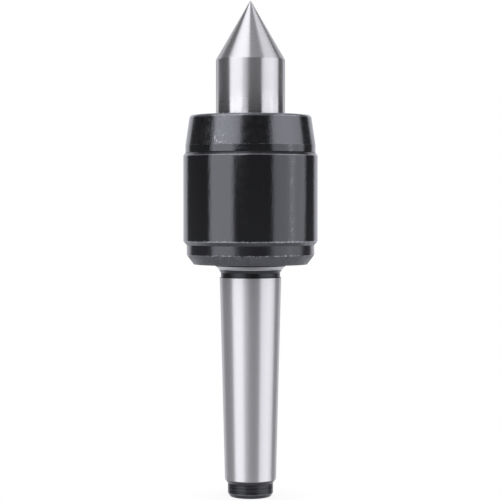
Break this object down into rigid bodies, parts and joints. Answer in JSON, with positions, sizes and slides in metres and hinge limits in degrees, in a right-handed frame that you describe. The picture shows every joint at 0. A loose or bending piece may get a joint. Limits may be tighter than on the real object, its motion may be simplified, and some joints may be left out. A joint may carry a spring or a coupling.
{
  "type": "live center",
  "caption": "Revolving lathe tailstock center: a conical point turns on bearings inside a stepped round housing with a Morse taper shank.",
  "frame": {"origin": "on the axis at the shank's gauge line, where the Morse taper has its basic diameter of 23.825 mm", "axes": "+Z along the axis towards the point; the shank runs along -Z; X runs through the two pin spanner holes"},
  "size_m": [0.0528, 0.0528, 0.1942],
  "materials": {
    "blackened_housing": "black oxide on the head, bright ground taper, dark turned stub",
    "blackened_cap": "black oxide, semi-gloss",
    "ground_spindle": "bright, ground round the axis",
    "bearing_steel": "fine ground",
    "polished_balls": "lapped",
    "pressed_steel": "cold rolled, satin",
    "spring_steel": "phosphated, dark",
    "machined_brass": "turned",
    "felt": "dense felt, oiled"
  },
  "bodies": {
    "housing": {"housing": "blackened_housing", "front_cap": "blackened_cap", "dust_seal": "felt", "cap_shim": "bearing_steel", "front_bearing_outer_ring": "bearing_steel", "front_bearing_shield_front": "pressed_steel", "front_bearing_shield_rear": "pressed_steel", "thrust_housing_washer": "bearing_steel", "needle_shell": "bearing_steel"},
    "spindle": {"spindle": "ground_spindle", "spindle_circlip": "spring_steel", "front_bearing_inner_ring": "bearing_steel", "thrust_shaft_washer": "bearing_steel"},
    "front_cage": {"front_bearing_cage_front": "pressed_steel", "front_bearing_cage_rear": "pressed_steel", "front_bearing_cage_rivets": "pressed_steel", "front_bearing_balls": "polished_balls"},
    "thrust_cage": {"thrust_cage": "machined_brass", "thrust_balls": "polished_balls"},
    "needle_cage": {"needle_cage": "pressed_steel", "needle_rollers": "polished_balls"}
  },
  "joints": [
    {"name": "spindle_spin", "type": "hinge", "parent": "housing", "child": "spindle", "pos_m": [0, 0, 0], "axis": [0, 0, 1], "continuous": true},
    {"name": "front_cage_spin", "type": "hinge", "parent": "housing", "child": "front_cage", "pos_m": [0, 0, 0], "axis": [0, 0, 1], "continuous": true},
    {"name": "thrust_cage_spin", "type": "hinge", "parent": "housing", "child": "thrust_cage", "pos_m": [0, 0, 0], "axis": [0, 0, 1], "continuous": true},
    {"name": "needle_cage_spin", "type": "hinge", "parent": "housing", "child": "needle_cage", "pos_m": [0, 0, 0], "axis": [0, 0, 1], "continuous": true}
  ],
  "couplings": [
    {"joint": "front_cage_spin", "follows": "spindle_spin", "ratio": 0.39758},
    {"joint": "thrust_cage_spin", "follows": "spindle_spin", "ratio": 0.5},
    {"joint": "needle_cage_spin", "follows": "spindle_spin", "ratio": 0.44519}
  ]
}
